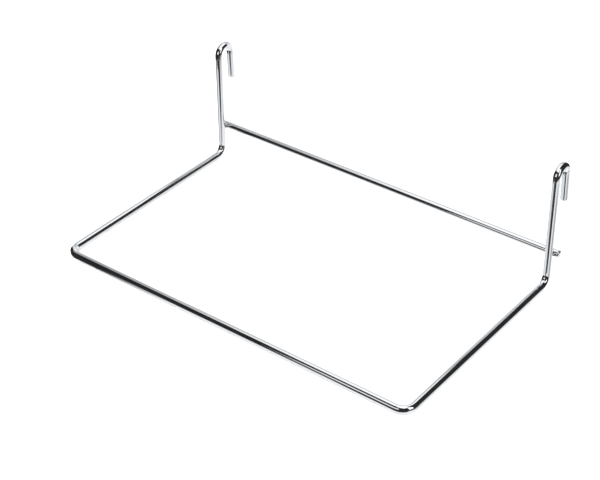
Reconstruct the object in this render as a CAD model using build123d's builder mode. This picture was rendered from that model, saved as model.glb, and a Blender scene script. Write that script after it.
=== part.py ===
"""Hanging file rack bent and welded from chromed steel wire.

One wire is bent into the whole outline.  Its front rail and its two side rails carry
the hooks of hanging files.  At the rear end of each side rail it turns up at a foot,
rises and folds over into a hook that drops behind a rail of a wall panel.  A cross bar
is welded behind both hooks and rests against the same panel.  Nothing moves.

The bent wire is divided where its stretches meet, square to its centre line, so that
each rail and each hook is a solid of its own.

Millimetres, +Z up.  X runs along the front rail and Y from the front rail to the panel.
The origin is in the middle of the rack, on the plane under its rails.
"""

from build123d import *
from math import cos, radians, sin
import os

os.makedirs("parts", exist_ok=True)

# Wire sizes
WIRE_DIAMETER = 6.0
BAR_DIAMETER = 6.0

# Overall sizes, between wire centre lines
RAIL_SPACING = 311.0
RAIL_DEPTH = 183.0
HOOK_HEIGHT = 97.0

# Bends, as the radius on the inside of the wire
CORNER_INSIDE_RADIUS = 6.0
FOOT_INSIDE_RADIUS = 5.0

# Hook: the gap takes the panel's rail, and the tail leans away from the upright
HOOK_GAP = 8.0
TAIL_LENGTH = 25.0
TAIL_LEAN = 2.5

# Cross bar: height above the side rails and reach beyond the uprights' centre lines
BAR_HEIGHT = 24.0
BAR_OVERHANG = 6.0

# Deburred wire ends
END_CHAMFER = 0.5

# Weld at each crossing of an upright and the cross bar
WELD_ROOT_GAP = 0.1
WELD_SPREAD = 1.6
WELD_THICKNESS = 4.4

# Centre-line radii and wire radii
wire_radius = WIRE_DIAMETER / 2
bar_radius = BAR_DIAMETER / 2
corner_radius = CORNER_INSIDE_RADIUS + wire_radius
foot_radius = FOOT_INSIDE_RADIUS + wire_radius
hook_radius = (HOOK_GAP + WIRE_DIAMETER) / 2

# The tail's end sets how far back the rack reaches
tail_reach = (
    hook_radius * (1 + cos(radians(TAIL_LEAN)))
    + TAIL_LENGTH * sin(radians(TAIL_LEAN))
    + wire_radius * cos(radians(TAIL_LEAN))
)
overall_depth = wire_radius + RAIL_DEPTH + tail_reach

# Places of the centre lines
rail_x = RAIL_SPACING / 2
rail_z = wire_radius
front_y = wire_radius - overall_depth / 2
corner_y = front_y + corner_radius
upright_y = front_y + RAIL_DEPTH
foot_y = upright_y - foot_radius
hook_z = rail_z + HOOK_HEIGHT - hook_radius
bar_y = upright_y + wire_radius + WELD_ROOT_GAP + bar_radius
bar_z = rail_z + BAR_HEIGHT
weld_y = upright_y + wire_radius + WELD_ROOT_GAP / 2

SIDES = {"left": -1, "right": 1}


def make_front_rail():
    """Front rail with the bend at each end, up to where the side rails begin."""
    with BuildPart() as rail:
        with BuildLine(Plane.XY.offset(rail_z)) as centre_line:
            left_bend = JernArc((-rail_x, corner_y), (0, -1), corner_radius, 90)
            straight = Line(left_bend @ 1, (rail_x - corner_radius, front_y))
            JernArc(straight @ 1, straight % 1, corner_radius, 90)
        with BuildSketch(Plane(left_bend @ 0, z_dir=left_bend % 0)):
            Circle(wire_radius)
        sweep(path=centre_line.wire())
    return rail.part


def make_side_rail(side):
    """Straight rail from the front bend to the foot of the hook."""
    with BuildPart() as rail:
        with BuildSketch(Plane((side * rail_x, corner_y, rail_z), z_dir=(0, 1, 0))):
            Circle(wire_radius)
        extrude(amount=foot_y - corner_y)
    return rail.part


def make_hook(side):
    """Foot bend, upright, hook bend and tail, with the tail's end deburred."""
    with BuildPart() as hook:
        with BuildLine(Plane.YZ.offset(side * rail_x)) as centre_line:
            foot = JernArc((foot_y, rail_z), (1, 0), foot_radius, 90)
            upright = Line(foot @ 1, (upright_y, hook_z))
            crook = JernArc(upright @ 1, upright % 1, hook_radius, TAIL_LEAN - 180)
            Line(crook @ 1, crook @ 1 + crook % 1 * TAIL_LENGTH)
        with BuildSketch(Plane(foot @ 0, z_dir=foot % 0)):
            Circle(wire_radius)
        sweep(path=centre_line.wire())
        tail_end = hook.faces().filter_by(GeomType.PLANE).sort_by(Axis.Y)[-1]
        chamfer(tail_end.edges(), END_CHAMFER)
    return hook.part


def make_cross_bar():
    """Straight bar behind both uprights, with its ends deburred."""
    with BuildPart() as bar:
        with BuildSketch(Plane((-rail_x - BAR_OVERHANG, bar_y, bar_z), z_dir=(1, 0, 0))):
            Circle(bar_radius)
        extrude(amount=RAIL_SPACING + 2 * BAR_OVERHANG)
        bar_ends = bar.faces().filter_by(GeomType.PLANE)
        chamfer(bar_ends.edges(), END_CHAMFER)
    return bar.part


def make_bar_weld(side, hook, cross_bar):
    """Lens of weld metal squeezed out round the crossing of an upright and the bar."""
    crossing = Plane((side * rail_x, weld_y, bar_z), x_dir=(1, 0, 0), z_dir=(0, 0, 1))
    with BuildPart() as weld:
        with BuildSketch(crossing):
            Ellipse(wire_radius + WELD_SPREAD, WELD_THICKNESS / 2)
            split(bisect_by=Plane.YZ)
        revolve(axis=Axis(crossing.origin, crossing.y_dir))
        add(hook, mode=Mode.SUBTRACT)
        add(cross_bar, mode=Mode.SUBTRACT)
    return weld.part


pieces = {"front_rail": make_front_rail(), "cross_bar": make_cross_bar()}
for side_name, side in SIDES.items():
    hook = make_hook(side)
    pieces[f"side_rail_{side_name}"] = make_side_rail(side)
    pieces[f"hook_{side_name}"] = hook
    pieces[f"bar_weld_{side_name}"] = make_bar_weld(side, hook, pieces["cross_bar"])

for name, piece in pieces.items():
    piece.label = name
    export_step(piece, f"parts/{name}.step")
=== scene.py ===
"""Hanging file rack of bright plated wire: finished meshes, materials, light and camera.

Metres, in the frame of the CAD model: X along the front rail, Y from the front rail to the
wall panel, Z up, and the origin in the middle of the rack on the plane it rests on.
"""

import math
import bpy
import bmesh
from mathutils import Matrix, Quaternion, Vector, noise


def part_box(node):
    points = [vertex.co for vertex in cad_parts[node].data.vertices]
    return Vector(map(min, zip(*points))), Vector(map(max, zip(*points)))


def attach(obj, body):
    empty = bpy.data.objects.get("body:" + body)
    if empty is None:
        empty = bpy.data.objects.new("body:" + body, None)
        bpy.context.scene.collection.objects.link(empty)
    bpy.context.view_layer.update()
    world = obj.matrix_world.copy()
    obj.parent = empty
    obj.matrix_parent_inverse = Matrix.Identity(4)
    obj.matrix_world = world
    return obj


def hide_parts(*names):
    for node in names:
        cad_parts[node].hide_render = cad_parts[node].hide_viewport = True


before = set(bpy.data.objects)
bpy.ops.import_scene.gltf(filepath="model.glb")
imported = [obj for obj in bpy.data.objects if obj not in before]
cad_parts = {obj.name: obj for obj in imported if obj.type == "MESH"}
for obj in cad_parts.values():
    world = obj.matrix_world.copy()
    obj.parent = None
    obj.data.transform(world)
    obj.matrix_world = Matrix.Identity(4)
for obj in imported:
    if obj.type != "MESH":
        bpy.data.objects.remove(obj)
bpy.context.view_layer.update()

MM = 0.001
QUARTER_TURN = math.pi / 2

# ---------------------------------------------------------------- sizes read from the frame
rail_low, rail_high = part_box("front_rail")
hook_low, hook_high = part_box("hook_right")
bar_low, bar_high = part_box("cross_bar")
weld_low, weld_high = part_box("bar_weld_right")

WIRE_R = (rail_high.z - rail_low.z) / 2
BAR_R = (bar_high.z - bar_low.z) / 2
RAIL_X = rail_high.x - WIRE_R
RAIL_Z = rail_low.z + WIRE_R
FRONT_Y = rail_low.y + WIRE_R
CORNER_R = rail_high.y - FRONT_Y
FOOT_Y = hook_low.y
HOOK_TOP_Z = hook_high.z - WIRE_R
BAR_Y = (bar_low.y + bar_high.y) / 2
BAR_Z = (bar_low.z + bar_high.z) / 2
BAR_END_X = bar_high.x
WELD_REACH = (weld_high.x - weld_low.x) / 2

# ---------------------------------------------------------------- bends and ends
FOOT_R = 8 * MM
HOOK_R = 7 * MM
TAIL_LENGTH = 25 * MM
TAIL_LEAN = math.radians(2.5)
UPRIGHT_Y = FOOT_Y + FOOT_R
UPRIGHT_LENGTH = HOOK_TOP_Z - HOOK_R - RAIL_Z - FOOT_R
RAIL_LENGTH = FOOT_Y - FRONT_Y - CORNER_R
TAIL_END_ROUND = 0.6 * MM
BAR_END_ROUND = 1.2 * MM
END_STEPS = 8
END_FACE_RINGS = (0.8, 0.55, 0.3)
END_DISH = 0.04 * MM

# Weld metal: least reach from the crossing, how deep it starts inside the wires, how
# hollow its skin is against its height, and how lumpy its outline is
WELD_SHORT = 2.65 * MM
WELD_DEPTH = 0.25 * MM
WELD_HOLLOW = 0.3
WELD_LUMPS = 0.08
WELD_LUMP_TURNS = 3
WELD_LUMP_SEED = 5
WELD_COLUMNS = 96
WELD_ROWS = 14

# How much a bend narrows the wire across its inside and outside
BEND_FLATTENING = 0.03
FLATTENED_FROM = 8 * MM

# ---------------------------------------------------------------- mesh fineness
SIDES = 72
STRAIGHT_STEP = 3 * MM
ARC_STEP = math.radians(3)
LEAST_ARC_STEPS = 4


class Path:
    """Centre line of a bent wire.

    Each station has its place, its direction, two axes across the wire that are carried
    along without twist, and how hard the wire is bent there, as a vector to the bend's centre.
    """

    def __init__(self, start, direction, across):
        self.place = Vector(start)
        self.ahead = Vector(direction).normalized()
        self.across = Vector(across).normalized()
        self.stations = []
        self.mark(Vector())

    def mark(self, bend):
        up = self.ahead.cross(self.across)
        self.stations.append((self.place.copy(), self.ahead.copy(), self.across.copy(), up, bend))

    def straight(self, length):
        start = self.place.copy()
        steps = max(1, round(length / STRAIGHT_STEP))
        for i in range(1, steps + 1):
            self.place = start + self.ahead * (length * i / steps)
            self.mark(Vector())
        return self

    def turn(self, axis, radius, angle):
        """Bend by the angle, in the positive sense about the axis."""
        start, ahead, across = self.place.copy(), self.ahead.copy(), self.across.copy()
        axis = Vector(axis)
        inward = axis.cross(ahead).normalized()
        centre = start + inward * radius
        steps = max(LEAST_ARC_STEPS, round(angle / ARC_STEP))
        for i in range(1, steps + 1):
            spin = Quaternion(axis, angle * i / steps)
            self.place = centre + spin @ (start - centre)
            self.ahead = spin @ ahead
            self.across = spin @ across
            self.mark((spin @ inward) / radius if i < steps else Vector())
        return self


def wire(name, path, radius, end_round):
    """Swept round wire in fine rings, with a rounded edge and a dished face at each end."""
    bm = bmesh.new()
    uv_layer = bm.loops.layers.uv.new("around_along")
    rings = []
    lengths = []

    def ring(station, size, shift, along):
        place, ahead, across, up, bend = station
        verts = []
        for k in range(SIDES):
            t = 2 * math.pi * k / SIDES
            offset = (across * math.cos(t) + up * math.sin(t)) * size
            if bend.length > 0:
                inward = bend.normalized()
                narrowing = BEND_FLATTENING * min(1.0, bend.length * FLATTENED_FROM)
                offset -= inward * (offset.dot(inward) * narrowing)
            verts.append(bm.verts.new(place + ahead * shift + offset))
        rings.append(verts)
        lengths.append(along)

    first, last = path.stations[0], path.stations[-1]
    edge = [(end_round * (1 - math.sin(a)), end_round * (1 - math.cos(a)))
            for a in [QUARTER_TURN * i / END_STEPS for i in range(END_STEPS + 1)]]
    for shrink, back in edge:
        ring(first, radius - shrink, back, back)
    travelled = [0.0]
    for before, station in zip(path.stations, path.stations[1:]):
        travelled.append(travelled[-1] + (station[0] - before[0]).length)
    total = travelled[-1]
    for station, along in zip(path.stations, travelled):
        if end_round < along < total - end_round:
            ring(station, radius, 0.0, along)
    for shrink, back in reversed(edge):
        ring(last, radius - shrink, -back, total - back)

    for (low, high), (v0, v1) in zip(zip(rings, rings[1:]), zip(lengths, lengths[1:])):
        for k in range(SIDES):
            n = (k + 1) % SIDES
            face = bm.faces.new((low[k], low[n], high[n], high[k]))
            for loop, uv in zip(face.loops, ((k, v0), (k + 1, v0), (k + 1, v1), (k, v1))):
                loop[uv_layer].uv = (uv[0] / SIDES, uv[1])
    close_end(bm, rings[0], first[1])
    close_end(bm, rings[-1], -last[1])
    return finished_mesh(name, bm)


def close_end(bm, rim, inward):
    """Sheared end face: rings that shrink to a point, with the middle dished inward."""
    centre = sum((v.co for v in rim), Vector()) / len(rim)
    outer = rim
    for share in END_FACE_RINGS:
        depth = inward * (END_DISH * (1 - share * share))
        inner = [bm.verts.new(centre.lerp(v.co, share) + depth) for v in rim]
        for k in range(len(rim)):
            n = (k + 1) % len(rim)
            bm.faces.new((outer[k], inner[k], inner[n], outer[n]))
        outer = inner
    middle = bm.verts.new(centre + inward * END_DISH)
    for k in range(len(rim)):
        bm.faces.new((outer[k], middle, outer[(k + 1) % len(rim)]))


def weld_bead(name, side):
    """Weld metal in the notch between an upright and the bar, drawn in between them.

    Each column of the mesh looks out from the crossing.  It starts inside the upright, runs
    over a hollow skin of metal and ends inside the bar.
    """
    bm = bmesh.new()
    uv_layer = bm.loops.layers.uv.new("around_along")
    crossing = Vector((side * RAIL_X, (UPRIGHT_Y + BAR_Y) / 2, BAR_Z))
    columns = []
    for k in range(WELD_COLUMNS):
        t = 2 * math.pi * k / WELD_COLUMNS
        out = Vector((math.cos(t), 0, math.sin(t)))
        lump_place = Vector((out.x, 0, out.z)) * WELD_LUMP_TURNS
        lump_place.y = side * WELD_LUMP_SEED
        lumps = 1 + WELD_LUMPS * noise.noise(lump_place)
        on_upright = (WELD_SHORT + (WELD_REACH - WELD_SHORT) * out.z ** 2) * lumps
        on_bar = (WELD_SHORT + (WELD_REACH - WELD_SHORT) * out.x ** 2) * lumps
        upright_face = -math.sqrt(max(0.0, WIRE_R ** 2 - (on_upright * out.x) ** 2))
        bar_face = -math.sqrt(max(0.0, BAR_R ** 2 - (on_bar * out.z) ** 2))
        low = crossing.y - (BAR_Y - UPRIGHT_Y) / 2 - upright_face - WELD_DEPTH
        high = crossing.y + (BAR_Y - UPRIGHT_Y) / 2 + bar_face + WELD_DEPTH
        column = []
        for i in range(WELD_ROWS + 1):
            share = i / WELD_ROWS
            hollow = WELD_HOLLOW * math.sin(math.pi * share) * abs(high - low)
            reach = on_upright + (on_bar - on_upright) * share - hollow
            place = crossing + out * reach
            place.y = low + (high - low) * share
            column.append(bm.verts.new(place))
        columns.append(column)
    for k, column in enumerate(columns):
        following = columns[(k + 1) % WELD_COLUMNS]
        for i in range(WELD_ROWS):
            face = bm.faces.new((column[i], following[i], following[i + 1], column[i + 1]))
            for loop, uv in zip(face.loops, ((k, i), (k + 1, i), (k + 1, i + 1), (k, i + 1))):
                loop[uv_layer].uv = (uv[0] / WELD_COLUMNS, uv[1] / WELD_ROWS)
    for row in (0, WELD_ROWS):
        rim = [column[row] for column in columns]
        middle = bm.verts.new(sum((v.co for v in rim), Vector()) / len(rim))
        for k in range(WELD_COLUMNS):
            bm.faces.new((rim[k], rim[(k + 1) % WELD_COLUMNS], middle))
    return finished_mesh(name, bm)


def finished_mesh(name, bm):
    bmesh.ops.recalc_face_normals(bm, faces=bm.faces)
    for face in bm.faces:
        face.smooth = True
    return linked_object(name, bm)


def linked_object(name, bm):
    mesh = bpy.data.meshes.new(name)
    bm.to_mesh(mesh)
    bm.free()
    piece = bpy.data.objects.new(name, mesh)
    bpy.context.collection.objects.link(piece)
    return piece


# ---------------------------------------------------------------- materials
# Noise scales are per metre, and most values of a noise lie in its middle
NOISE_MIDDLE = (0.3, 0.7)

PLATE_TONES = ((0.80, 0.822, 0.85), (0.86, 0.877, 0.90))
PLATE_ROUGHNESS = (0.035, 0.075)
HAZE_SCALE = 55.0
SPECK_SCALE = 900.0
SPECK_PEAKS = (0.62, 0.8)
SPECK_ROUGHNESS = 0.05
DRAW_LINES = (90.0, 6.0, 1.0)
DRAW_LINE_DEPTH = 0.02 * MM
RIPPLE_SCALE = 140.0
RIPPLE_DEPTH = 0.1 * MM
PLATE_RELIEF = 0.10

WELD_TONES = ((0.30, 0.31, 0.325), (0.66, 0.675, 0.70))
WELD_ROUGHNESS = (0.08, 0.18)
GRAIN_SCALE = 700.0
GRAIN_DEPTH = 0.08 * MM
GRAIN_RELIEF = 0.35
LUMP_SCALE = 260.0
LUMP_DEPTH = 0.3 * MM
LUMP_RELIEF = 0.5

FLOOR_TONES = ((0.93, 0.93, 0.93), (0.95, 0.95, 0.95))
FLOOR_ROUGHNESS = (0.75, 0.85)
FLOOR_SPECULAR = 0.1
CLOUD_SCALE = 1.5
TOOTH_SCALE = 350.0
TOOTH_DEPTH = 0.2 * MM
TOOTH_RELIEF = 0.05


def node_material(name):
    material = bpy.data.materials.new(name)
    material.use_nodes = True
    tree = material.node_tree
    return material, tree, tree.nodes["Principled BSDF"]


def noise_node(tree, vector, scale, detail, roughness=0.5):
    node = tree.nodes.new("ShaderNodeTexNoise")
    node.inputs["Scale"].default_value = scale
    node.inputs["Detail"].default_value = detail
    node.inputs["Roughness"].default_value = roughness
    tree.links.new(vector, node.inputs["Vector"])
    return node.outputs["Fac"]


def ranged(tree, value, span, to_span):
    node = tree.nodes.new("ShaderNodeMapRange")
    node.inputs["From Min"].default_value = span[0]
    node.inputs["From Max"].default_value = span[1]
    node.inputs["To Min"].default_value = to_span[0]
    node.inputs["To Max"].default_value = to_span[1]
    tree.links.new(value, node.inputs["Value"])
    return node.outputs["Result"]


def maths(tree, operation, a, b):
    node = tree.nodes.new("ShaderNodeMath")
    node.operation = operation
    for socket, value in zip(node.inputs, (a, b)):
        if isinstance(value, (int, float)):
            socket.default_value = value
        else:
            tree.links.new(value, socket)
    return node.outputs[0]


def mapped(tree, vector, scale):
    node = tree.nodes.new("ShaderNodeMapping")
    node.inputs["Scale"].default_value = scale
    tree.links.new(vector, node.inputs["Vector"])
    return node.outputs["Vector"]


def toned(tree, value, tones, socket):
    dark, light = tones
    node = tree.nodes.new("ShaderNodeMix")
    node.data_type = "RGBA"
    node.inputs["A"].default_value = (*dark, 1)
    node.inputs["B"].default_value = (*light, 1)
    tree.links.new(value, node.inputs["Factor"])
    tree.links.new(node.outputs["Result"], socket)


def bumped(tree, height, strength, distance, under=None):
    node = tree.nodes.new("ShaderNodeBump")
    node.inputs["Strength"].default_value = strength
    node.inputs["Distance"].default_value = distance
    tree.links.new(height, node.inputs["Height"])
    if under is not None:
        tree.links.new(under, node.inputs["Normal"])
    return node.outputs["Normal"]


def ramp(tree, value, stops):
    node = tree.nodes.new("ShaderNodeValToRGB")
    ends = node.color_ramp.elements
    while len(ends) > 1:
        ends.remove(ends[-1])
    for i, (place, grey) in enumerate(stops):
        stop = ends[0] if i == 0 else ends.new(place)
        stop.position = place
        stop.color = (grey, grey, grey, 1)
    tree.links.new(value, node.inputs["Fac"])
    return node.outputs["Color"]


def plated_wire():
    """Bright nickel-chrome plate over drawn wire: faint draw lines, haze and fine wear."""
    material, tree, shader = node_material("plated_wire")
    coords = tree.nodes.new("ShaderNodeTexCoord")
    place, unrolled = coords.outputs["Object"], coords.outputs["UV"]
    haze = noise_node(tree, place, HAZE_SCALE, 4.0)
    specks = noise_node(tree, place, SPECK_SCALE, 2.0)
    lines = noise_node(tree, mapped(tree, unrolled, DRAW_LINES), 1.0, 3.0)
    ripple = noise_node(tree, place, RIPPLE_SCALE, 2.0)

    toned(tree, haze, PLATE_TONES, shader.inputs["Base Color"])
    rough = ranged(tree, haze, NOISE_MIDDLE, PLATE_ROUGHNESS)
    wear = ranged(tree, specks, SPECK_PEAKS, (0.0, SPECK_ROUGHNESS))
    tree.links.new(maths(tree, "ADD", rough, wear), shader.inputs["Roughness"])
    shader.inputs["Metallic"].default_value = 1.0

    relief = bumped(tree, lines, PLATE_RELIEF, DRAW_LINE_DEPTH)
    relief = bumped(tree, ripple, PLATE_RELIEF, RIPPLE_DEPTH, relief)
    tree.links.new(relief, shader.inputs["Normal"])
    return material


def plated_weld():
    """The same plate over weld metal: rippled, duller and darker."""
    material, tree, shader = node_material("plated_weld")
    place = tree.nodes.new("ShaderNodeTexCoord").outputs["Object"]
    grain = noise_node(tree, place, GRAIN_SCALE, 4.0, 0.6)
    lumps = noise_node(tree, place, LUMP_SCALE, 2.0)

    toned(tree, grain, WELD_TONES, shader.inputs["Base Color"])
    tree.links.new(ranged(tree, grain, NOISE_MIDDLE, WELD_ROUGHNESS), shader.inputs["Roughness"])
    shader.inputs["Metallic"].default_value = 1.0

    relief = bumped(tree, lumps, LUMP_RELIEF, LUMP_DEPTH)
    relief = bumped(tree, grain, GRAIN_RELIEF, GRAIN_DEPTH, relief)
    tree.links.new(relief, shader.inputs["Normal"])
    return material


def pale_floor():
    """Matt white studio paper with a trace of tooth."""
    material, tree, shader = node_material("pale_floor")
    place = tree.nodes.new("ShaderNodeTexCoord").outputs["Object"]
    tooth = noise_node(tree, place, TOOTH_SCALE, 3.0)
    cloud = noise_node(tree, place, CLOUD_SCALE, 2.0)
    toned(tree, cloud, FLOOR_TONES, shader.inputs["Base Color"])
    tree.links.new(ranged(tree, tooth, NOISE_MIDDLE, FLOOR_ROUGHNESS), shader.inputs["Roughness"])
    shader.inputs["Specular IOR Level"].default_value = FLOOR_SPECULAR
    tree.links.new(bumped(tree, tooth, TOOTH_RELIEF, TOOTH_DEPTH), shader.inputs["Normal"])
    return material


PLATE = plated_wire()
WELD = plated_weld()

# ---------------------------------------------------------------- pieces


def finish_piece(piece, material, slot, *nodes):
    piece.data.materials.append(material)
    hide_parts(*nodes)
    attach(piece, "root")


def bent_wire():
    """The one wire from the left hook's tail round the rails to the right hook's tail."""
    lean = Vector((0, math.sin(TAIL_LEAN), -math.cos(TAIL_LEAN)))
    hook_centre = Vector((-RAIL_X, UPRIGHT_Y + HOOK_R, HOOK_TOP_Z - HOOK_R))
    bend_end = hook_centre + Vector((0, math.cos(TAIL_LEAN), math.sin(TAIL_LEAN))) * HOOK_R
    path = Path(bend_end + lean * TAIL_LENGTH, -lean, (1, 0, 0))
    path.straight(TAIL_LENGTH)
    path.turn((1, 0, 0), HOOK_R, math.pi - TAIL_LEAN)
    path.straight(UPRIGHT_LENGTH)
    path.turn((-1, 0, 0), FOOT_R, QUARTER_TURN)
    path.straight(RAIL_LENGTH)
    path.turn((0, 0, 1), CORNER_R, QUARTER_TURN)
    path.straight(2 * (RAIL_X - CORNER_R))
    path.turn((0, 0, 1), CORNER_R, QUARTER_TURN)
    path.straight(RAIL_LENGTH)
    path.turn((1, 0, 0), FOOT_R, QUARTER_TURN)
    path.straight(UPRIGHT_LENGTH)
    path.turn((-1, 0, 0), HOOK_R, math.pi - TAIL_LEAN)
    path.straight(TAIL_LENGTH)
    return wire("bright_bent_wire", path, WIRE_R, TAIL_END_ROUND)


def cross_bar():
    path = Path((-BAR_END_X, BAR_Y, BAR_Z), (1, 0, 0), (0, 1, 0))
    path.straight(2 * BAR_END_X)
    return wire("bright_cross_bar", path, BAR_R, BAR_END_ROUND)


finish_piece(bent_wire(), PLATE, "plated_wire",
             "front_rail", "side_rail_left", "side_rail_right", "hook_left", "hook_right")
finish_piece(cross_bar(), PLATE, "plated_wire", "cross_bar")
for side, word in ((-1, "left"), (1, "right")):
    finish_piece(weld_bead("bright_bar_weld_" + word, side), WELD, "plated_weld", "bar_weld_" + word)

# ---------------------------------------------------------------- floor
FLOOR_HALF = 6.0
FLOOR_CELLS = 8
FLOOR_GAP = 0.05 * MM


def stage_mesh(name, bm):
    piece = linked_object(name, bm)
    return piece


floor_grid = bmesh.new()
bmesh.ops.create_grid(floor_grid, x_segments=FLOOR_CELLS, y_segments=FLOOR_CELLS, size=FLOOR_HALF)
floor = stage_mesh("studio_floor", floor_grid)
floor.location.z = rail_low.z - FLOOR_GAP
floor.data.materials.append(pale_floor())
floor.visible_glossy = False

# ---------------------------------------------------------------- plain light and table
PLAIN_STRENGTH = 2.3

# How bright the table looks against how steeply the plate looks down at it: a dark room
# beyond its edge, then white.  The near edge lies lower than the far one.
NEAR_TABLE = [(0.0, 0.02), (0.36, 0.03), (0.44, 0.12), (0.50, 0.42), (0.55, 0.68),
              (0.62, 0.84), (0.72, 0.95), (0.80, 1.08), (0.87, 1.15)]
FAR_TABLE = [(0.0, 0.02), (0.30, 0.03), (0.39, 0.08), (0.43, 0.28), (0.46, 0.80),
             (0.49, 1.0), (0.57, 0.93), (0.66, 0.86), (0.77, 1.0), (0.87, 1.15)]
NEAR_EDGE = Vector((-0.85, -0.53, 0.0))
NEAR_EDGE_BLEND = (0.74, 0.88)
UNIT = (0.0, 1.0)


def table_seen(tree):
    """Table and dark room, as the plate sees them in each direction."""
    direction = tree.nodes.new("ShaderNodeTexCoord").outputs["Generated"]
    parts = tree.nodes.new("ShaderNodeSeparateXYZ")
    tree.links.new(direction, parts.inputs[0])
    down = ranged(tree, parts.outputs["Z"], (0.0, -1.0), UNIT)
    edge_side = tree.nodes.new("ShaderNodeVectorMath")
    edge_side.operation = "DOT_PRODUCT"
    edge_side.inputs[1].default_value = NEAR_EDGE
    tree.links.new(direction, edge_side.inputs[0])
    table = tree.nodes.new("ShaderNodeMix")
    table.data_type = "RGBA"
    nearness = ranged(tree, edge_side.outputs["Value"], NEAR_EDGE_BLEND, UNIT)
    tree.links.new(nearness, table.inputs["Factor"])
    tree.links.new(ramp(tree, down, FAR_TABLE), table.inputs["A"])
    tree.links.new(ramp(tree, down, NEAR_TABLE), table.inputs["B"])
    return table.outputs["Result"]


def studio_world():
    """Plain white light on everything, with the table and the room only in reflections."""
    world = bpy.data.worlds.new("studio")
    world.use_nodes = True
    tree = world.node_tree
    tree.nodes.clear()
    reflected = tree.nodes.new("ShaderNodeBackground")
    tree.links.new(table_seen(tree), reflected.inputs["Color"])
    plain = tree.nodes.new("ShaderNodeBackground")
    plain.inputs["Color"].default_value = (1, 1, 1, 1)
    plain.inputs["Strength"].default_value = PLAIN_STRENGTH
    ray = tree.nodes.new("ShaderNodeLightPath")
    pick = tree.nodes.new("ShaderNodeMixShader")
    tree.links.new(ray.outputs["Is Glossy Ray"], pick.inputs[0])
    tree.links.new(plain.outputs[0], pick.inputs[1])
    tree.links.new(reflected.outputs[0], pick.inputs[2])
    surface = tree.nodes.new("ShaderNodeOutputWorld")
    tree.links.new(pick.outputs[0], surface.inputs["Surface"])
    return world


bpy.context.scene.world = studio_world()

# ---------------------------------------------------------------- cards round the rack
# The floor doesn't show in reflections, so a card may reach below it or lie under it
TENT_LEFT = -1.6
TENT_RIGHT = 0.14
TENT_TOP = 0.47
TENT_BACK_Y = FRONT_Y + 0.49
WINDOW_X = RAIL_X + 0.6
# Beyond the right rail, below the floor: a dim grey card that paints a darker reflection into the
# rails
DIM_REFLECTION_X = RAIL_X + 0.345
SHARP = (0.02, 0.02)
LEVEL = 0.0


def flat(grey):
    return [(0.0, grey), (1.0, grey)]


CEILING = [(0.0, 0.42), (0.34, 0.42), (0.44, 0.55), (0.52, 0.84), (0.62, 1.12), (1.0, 1.2)]
BACK_WALL = [(0.0, 0.85), (0.36, 0.9), (0.48, 1.2), (0.56, 1.05), (0.66, 0.85), (0.78, 0.66),
             (1.0, 0.56)]
BACK_GLOW = [(0.0, 0.85), (0.36, 0.9), (0.48, 1.2), (1.0, 1.1)]
SIDE_WALL = [(0.0, 0.85), (0.38, 0.88), (0.5, 1.1), (1.0, 0.7)]
TOP_LIGHT = flat(1.3)
RIGHT_WINDOW = flat(1.4)
FRONT_WINDOW = flat(1.0)
# Grey of the card below the floor that paints a darker reflection into the rails
DIM_REFLECTION_GREY = flat(0.40)
BLACK = flat(0.03)


def card_material(name, size, tones, soft_edge):
    """Glow in the tones from the lower to the upper edge, which fades out towards all edges."""
    material = bpy.data.materials.new(name)
    material.use_nodes = True
    tree = material.node_tree
    tree.nodes.clear()
    parts = tree.nodes.new("ShaderNodeSeparateXYZ")
    tree.links.new(tree.nodes.new("ShaderNodeTexCoord").outputs["UV"], parts.inputs[0])
    glow = tree.nodes.new("ShaderNodeEmission")
    tree.links.new(ramp(tree, parts.outputs["Y"], tones), glow.inputs["Color"])
    cover = None
    for axis, length, soft in zip("XY", size, soft_edge):
        inset = soft / length
        for span in ((0.0, inset), (1.0, 1.0 - inset)):
            side = ranged(tree, parts.outputs[axis], span, UNIT)
            cover = side if cover is None else maths(tree, "MULTIPLY", cover, side)
    clear = tree.nodes.new("ShaderNodeBsdfTransparent")
    mix = tree.nodes.new("ShaderNodeMixShader")
    tree.links.new(cover, mix.inputs[0])
    tree.links.new(clear.outputs[0], mix.inputs[1])
    tree.links.new(glow.outputs[0], mix.inputs[2])
    surface = tree.nodes.new("ShaderNodeOutputMaterial")
    tree.links.new(mix.outputs[0], surface.inputs["Surface"])
    return material


def card(name, centre, size, facing, tilt, tones, soft_edge=SHARP):
    """Flat card that shows only in reflections, alike on both sides.

    It faces along the azimuth, measured from +Y towards +X, and is tilted up by the tilt.
    Its size is its width and its height.
    """
    rise = Vector((-math.sin(facing) * math.sin(tilt), -math.cos(facing) * math.sin(tilt),
                   math.cos(tilt)))
    along = Vector((math.cos(facing), -math.sin(facing), 0))
    width, height = size
    bm = bmesh.new()
    uv_layer = bm.loops.layers.uv.new("card")
    corners = ((0, 0), (1, 0), (1, 1), (0, 1))
    verts = []
    for u, v in corners:
        offset = along * ((u - 0.5) * width) + rise * ((v - 0.5) * height)
        verts.append(bm.verts.new(Vector(centre) + offset))
    face = bm.faces.new(verts)
    for loop, uv in zip(face.loops, corners):
        loop[uv_layer].uv = uv
    piece = stage_mesh(name, bm)
    piece.data.materials.append(card_material(name, size, tones, soft_edge))
    piece.visible_camera = False
    piece.visible_diffuse = False
    piece.visible_shadow = False


# White tent behind the rack and over it, with a glow low in its back wall
card("tent_ceiling", (-0.30, FRONT_Y + 0.18, TENT_TOP), (0.62, 0.94),
     -QUARTER_TURN, QUARTER_TURN, CEILING)
card("tent_back", ((TENT_RIGHT + TENT_LEFT) / 2, TENT_BACK_Y, -0.065),
     (TENT_RIGHT - TENT_LEFT, 1.07), math.pi, LEVEL, BACK_WALL)
card("back_glow", (-0.48, TENT_BACK_Y - 0.01, 0.03), (0.28, 0.86), math.pi, LEVEL, BACK_GLOW,
     (0.09, 0.09))
card("tent_side", (-0.62, FRONT_Y + 0.45, 0.0), (0.5, 1.0), QUARTER_TURN, LEVEL, SIDE_WALL,
     (0.05, 0.05))
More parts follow.
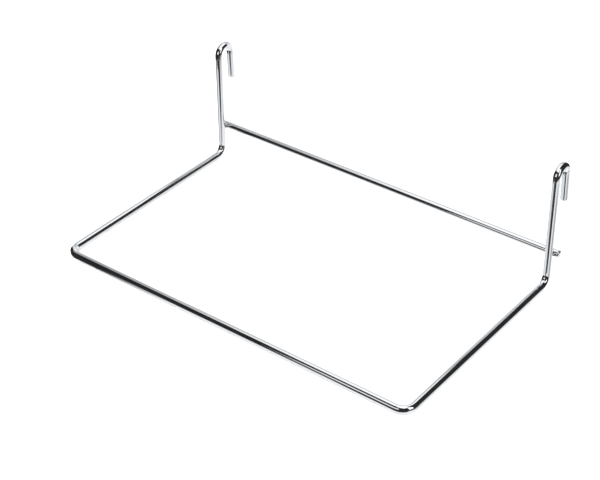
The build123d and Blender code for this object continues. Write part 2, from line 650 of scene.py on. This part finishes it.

# Light above, windows to the right and in front, and below the floor beyond the right rail a dim
# grey card: a painted darker reflection in the rails
card("top_light", (0.22, FRONT_Y - 0.06, TENT_TOP + 0.01), (0.34, 0.34), 0.0, QUARTER_TURN,
     TOP_LIGHT)
card("right_window", (WINDOW_X, FRONT_Y - 0.02, 0.50), (0.34, 0.84), -QUARTER_TURN, LEVEL,
     RIGHT_WINDOW)
card("front_window", (-0.06, FRONT_Y - 0.8, 0.36), (0.72, 0.48), 0.0, LEVEL, FRONT_WINDOW)
card("dark_side", (DIM_REFLECTION_X, 0.13, -0.20), (0.30, 0.20), -QUARTER_TURN, LEVEL, DIM_REFLECTION_GREY,
     (0.05, 0.05))

# Painted dark reflections: a black card in front of the rack that reaches below the floor, and one
# lying under the floor beneath its front rail
card("painted_dark_reflection_front", (0.155, FRONT_Y - 0.20, -0.115), (0.54, 0.39), math.radians(-23), LEVEL,
     BLACK, (0.025, 0.09))
card("painted_dark_reflection_under_rail", (-0.19, FRONT_Y - 0.021, -0.012), (0.26, 0.058), 0.0, QUARTER_TURN,
     BLACK, (0.07, 0.006))

# ---------------------------------------------------------------- camera
VIEW_AZIMUTH = math.radians(37.76)
VIEW_ELEVATION = math.radians(34.54)
VIEW_ROLL = math.radians(-0.50)
VIEW_DISTANCE = 1.1628
VIEW_TARGET = Vector((-0.0233, FRONT_Y + 0.1176, RAIL_Z))
LENS = 90.5
SENSOR_WIDTH = 36.0

camera_data = bpy.data.cameras.new("camera")
camera_data.lens = LENS
camera_data.sensor_width = SENSOR_WIDTH
camera = bpy.data.objects.new("camera", camera_data)
bpy.context.collection.objects.link(camera)
back = Vector((math.sin(VIEW_AZIMUTH) * math.cos(VIEW_ELEVATION),
               -math.cos(VIEW_AZIMUTH) * math.cos(VIEW_ELEVATION),
               math.sin(VIEW_ELEVATION)))
camera.location = VIEW_TARGET + back * VIEW_DISTANCE
camera.rotation_mode = "QUATERNION"
level = (-back).to_track_quat("-Z", "Y")
camera.rotation_quaternion = level @ Quaternion((0, 0, 1), VIEW_ROLL)
bpy.context.scene.camera = camera

bpy.context.scene.view_settings.view_transform = "Standard"
bpy.context.scene.view_settings.look = "None"
